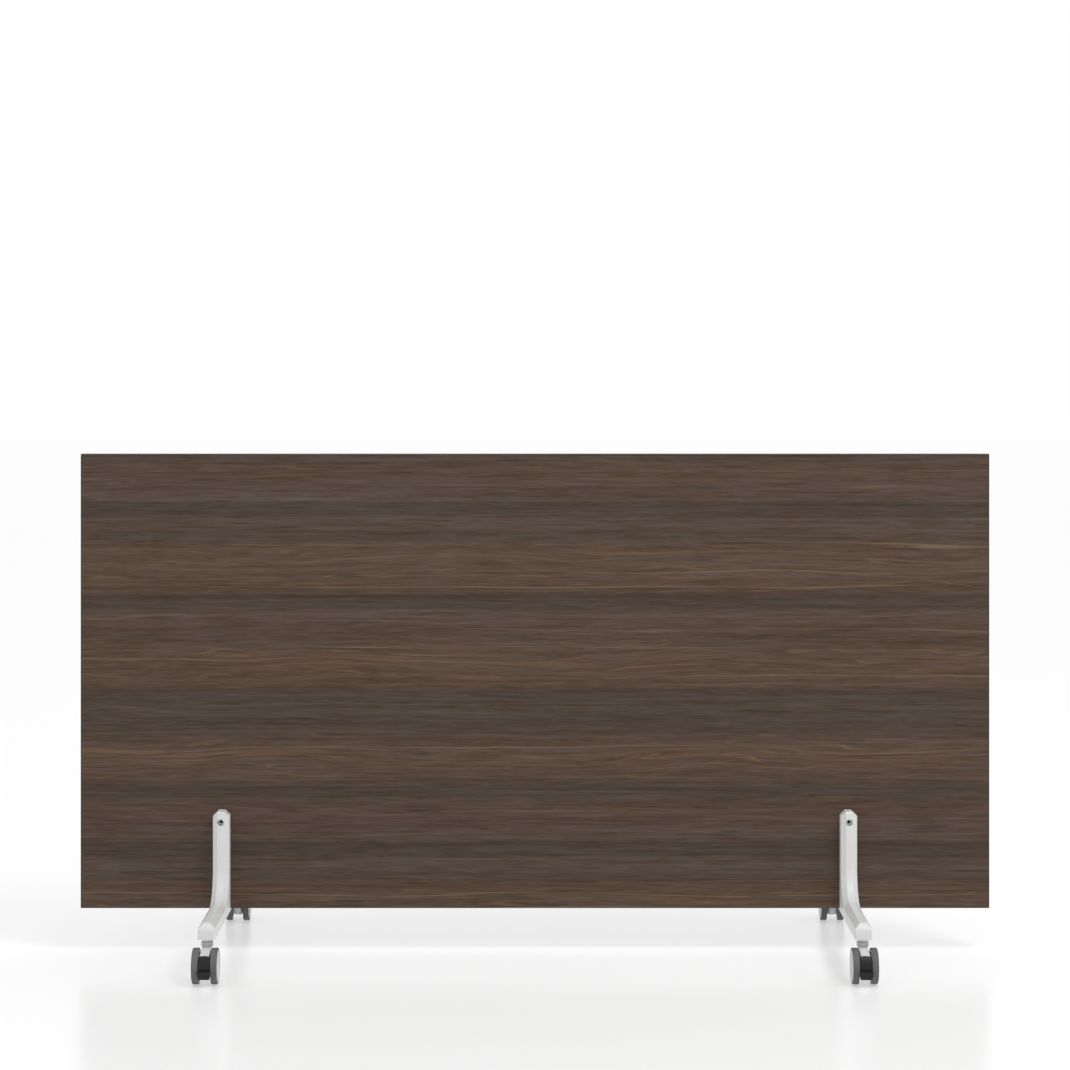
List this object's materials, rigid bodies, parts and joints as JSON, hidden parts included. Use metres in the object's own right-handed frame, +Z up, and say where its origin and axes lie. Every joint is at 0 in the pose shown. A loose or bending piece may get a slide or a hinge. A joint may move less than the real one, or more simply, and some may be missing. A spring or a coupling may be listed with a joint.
{
  "type": "room divider",
  "caption": "Free-standing mobile room divider: one walnut laminate panel in cast legs on braked twin-wheel swivel casters.",
  "frame": {"origin": "on the floor below the middle of the panel", "axes": "+X along the panel to the right as seen from the front, -Y out of the front face, +Z up"},
  "size_m": [1.829, 0.6884, 1.001],
  "materials": {
    "walnut_laminate": "satin walnut-look laminate, grain along the panel",
    "walnut_edge": "satin edge band to match",
    "core_board": "particle board",
    "leg_paint": "satin light silver powder coat",
    "steel": "zinc-plated",
    "swivel_metal": "satin grey",
    "caster_plastic": "moulded light grey nylon",
    "tyre_rubber": "soft grey tread",
    "black_plastic": "moulded black nylon"
  },
  "bodies": {
    "divider": {"panel_core": "core_board", "front_laminate": "walnut_laminate", "back_laminate": "walnut_laminate", "top_edge_band": "walnut_edge", "bottom_edge_band": "walnut_edge", "left_edge_band": "walnut_edge", "right_edge_band": "walnut_edge", "left_leg": "leg_paint", "right_leg": "leg_paint", "leg_screws": "steel", "sleeve_nuts": "steel", "stem_inserts": "steel", "thrust_washers": "swivel_metal", "stem_clips": "steel", "front_left_stem": "steel", "front_left_swivel_cap": "swivel_metal", "front_right_stem": "steel", "front_right_swivel_cap": "swivel_metal", "rear_left_stem": "steel", "rear_left_swivel_cap": "swivel_metal", "rear_right_stem": "steel", "rear_right_swivel_cap": "swivel_metal"},
    "front_left_caster": {"front_left_fork": "caster_plastic", "front_left_axle": "steel", "front_left_brake_pin": "steel"},
    "front_left_outer_wheel": {"front_left_outer_hub": "caster_plastic", "front_left_outer_tyre": "tyre_rubber"},
    "front_left_inner_wheel": {"front_left_inner_hub": "caster_plastic", "front_left_inner_tyre": "tyre_rubber"},
    "front_left_brake": {"front_left_brake_lever": "black_plastic"},
    "front_right_caster": {"front_right_fork": "caster_plastic", "front_right_axle": "steel", "front_right_brake_pin": "steel"},
    "front_right_outer_wheel": {"front_right_outer_hub": "caster_plastic", "front_right_outer_tyre": "tyre_rubber"},
    "front_right_inner_wheel": {"front_right_inner_hub": "caster_plastic", "front_right_inner_tyre": "tyre_rubber"},
    "front_right_brake": {"front_right_brake_lever": "black_plastic"},
    "rear_left_caster": {"rear_left_fork": "caster_plastic", "rear_left_axle": "steel", "rear_left_brake_pin": "steel"},
    "rear_left_outer_wheel": {"rear_left_outer_hub": "caster_plastic", "rear_left_outer_tyre": "tyre_rubber"},
    "rear_left_inner_wheel": {"rear_left_inner_hub": "caster_plastic", "rear_left_inner_tyre": "tyre_rubber"},
    "rear_left_brake": {"rear_left_brake_lever": "black_plastic"},
    "rear_right_caster": {"rear_right_fork": "caster_plastic", "rear_right_axle": "steel", "rear_right_brake_pin": "steel"},
    "rear_right_outer_wheel": {"rear_right_outer_hub": "caster_plastic", "rear_right_outer_tyre": "tyre_rubber"},
    "rear_right_inner_wheel": {"rear_right_inner_hub": "caster_plastic", "rear_right_inner_tyre": "tyre_rubber"},
    "rear_right_brake": {"rear_right_brake_lever": "black_plastic"}
  },
  "joints": [
    {"name": "front_left_swivel", "type": "hinge", "parent": "divider", "child": "front_left_caster", "pos_m": [-0.6295, -0.2727, 0.06], "axis": [0, 0, 1], "continuous": true},
    {"name": "front_left_outer_wheel_spin", "type": "hinge", "parent": "front_left_caster", "child": "front_left_outer_wheel", "pos_m": [-0.6295, -0.3007, 0.03425], "axis": [1, 0, 0], "continuous": true},
    {"name": "front_left_inner_wheel_spin", "type": "hinge", "parent": "front_left_caster", "child": "front_left_inner_wheel", "pos_m": [-0.6295, -0.3007, 0.03425], "axis": [1, 0, 0], "continuous": true},
    {"name": "front_left_brake_press", "type": "hinge", "parent": "front_left_caster", "child": "front_left_brake", "pos_m": [-0.6295, -0.3167, 0.04995], "axis": [1, 0, 0], "range_deg": [0, 12]},
    {"name": "front_right_swivel", "type": "hinge", "parent": "divider", "child": "front_right_caster", "pos_m": [0.6295, -0.2727, 0.06], "axis": [0, 0, 1], "continuous": true},
    {"name": "front_right_outer_wheel_spin", "type": "hinge", "parent": "front_right_caster", "child": "front_right_outer_wheel", "pos_m": [0.6295, -0.3007, 0.03425], "axis": [1, 0, 0], "continuous": true},
    {"name": "front_right_inner_wheel_spin", "type": "hinge", "parent": "front_right_caster", "child": "front_right_inner_wheel", "pos_m": [0.6295, -0.3007, 0.03425], "axis": [1, 0, 0], "continuous": true},
    {"name": "front_right_brake_press", "type": "hinge", "parent": "front_right_caster", "child": "front_right_brake", "pos_m": [0.6295, -0.3167, 0.04995], "axis": [1, 0, 0], "range_deg": [0, 12]},
    {"name": "rear_left_swivel", "type": "hinge", "parent": "divider", "child": "rear_left_caster", "pos_m": [-0.6295, 0.2727, 0.06], "axis": [0, 0, 1], "continuous": true},
    {"name": "rear_left_outer_wheel_spin", "type": "hinge", "parent": "rear_left_caster", "child": "rear_left_outer_wheel", "pos_m": [-0.6295, 0.3007, 0.03425], "axis": [1, 0, 0], "continuous": true},
    {"name": "rear_left_inner_wheel_spin", "type": "hinge", "parent": "rear_left_caster", "child": "rear_left_inner_wheel", "pos_m": [-0.6295, 0.3007, 0.03425], "axis": [1, 0, 0], "continuous": true},
    {"name": "rear_left_brake_press", "type": "hinge", "parent": "rear_left_caster", "child": "rear_left_brake", "pos_m": [-0.6295, 0.3167, 0.04995], "axis": [-1, 0, 0], "range_deg": [0, 12]},
    {"name": "rear_right_swivel", "type": "hinge", "parent": "divider", "child": "rear_right_caster", "pos_m": [0.6295, 0.2727, 0.06], "axis": [0, 0, 1], "continuous": true},
    {"name": "rear_right_outer_wheel_spin", "type": "hinge", "parent": "rear_right_caster", "child": "rear_right_outer_wheel", "pos_m": [0.6295, 0.3007, 0.03425], "axis": [1, 0, 0], "continuous": true},
    {"name": "rear_right_inner_wheel_spin", "type": "hinge", "parent": "rear_right_caster", "child": "rear_right_inner_wheel", "pos_m": [0.6295, 0.3007, 0.03425], "axis": [1, 0, 0], "continuous": true},
    {"name": "rear_right_brake_press", "type": "hinge", "parent": "rear_right_caster", "child": "rear_right_brake", "pos_m": [0.6295, 0.3167, 0.04995], "axis": [-1, 0, 0], "range_deg": [0, 12]}
  ]
}
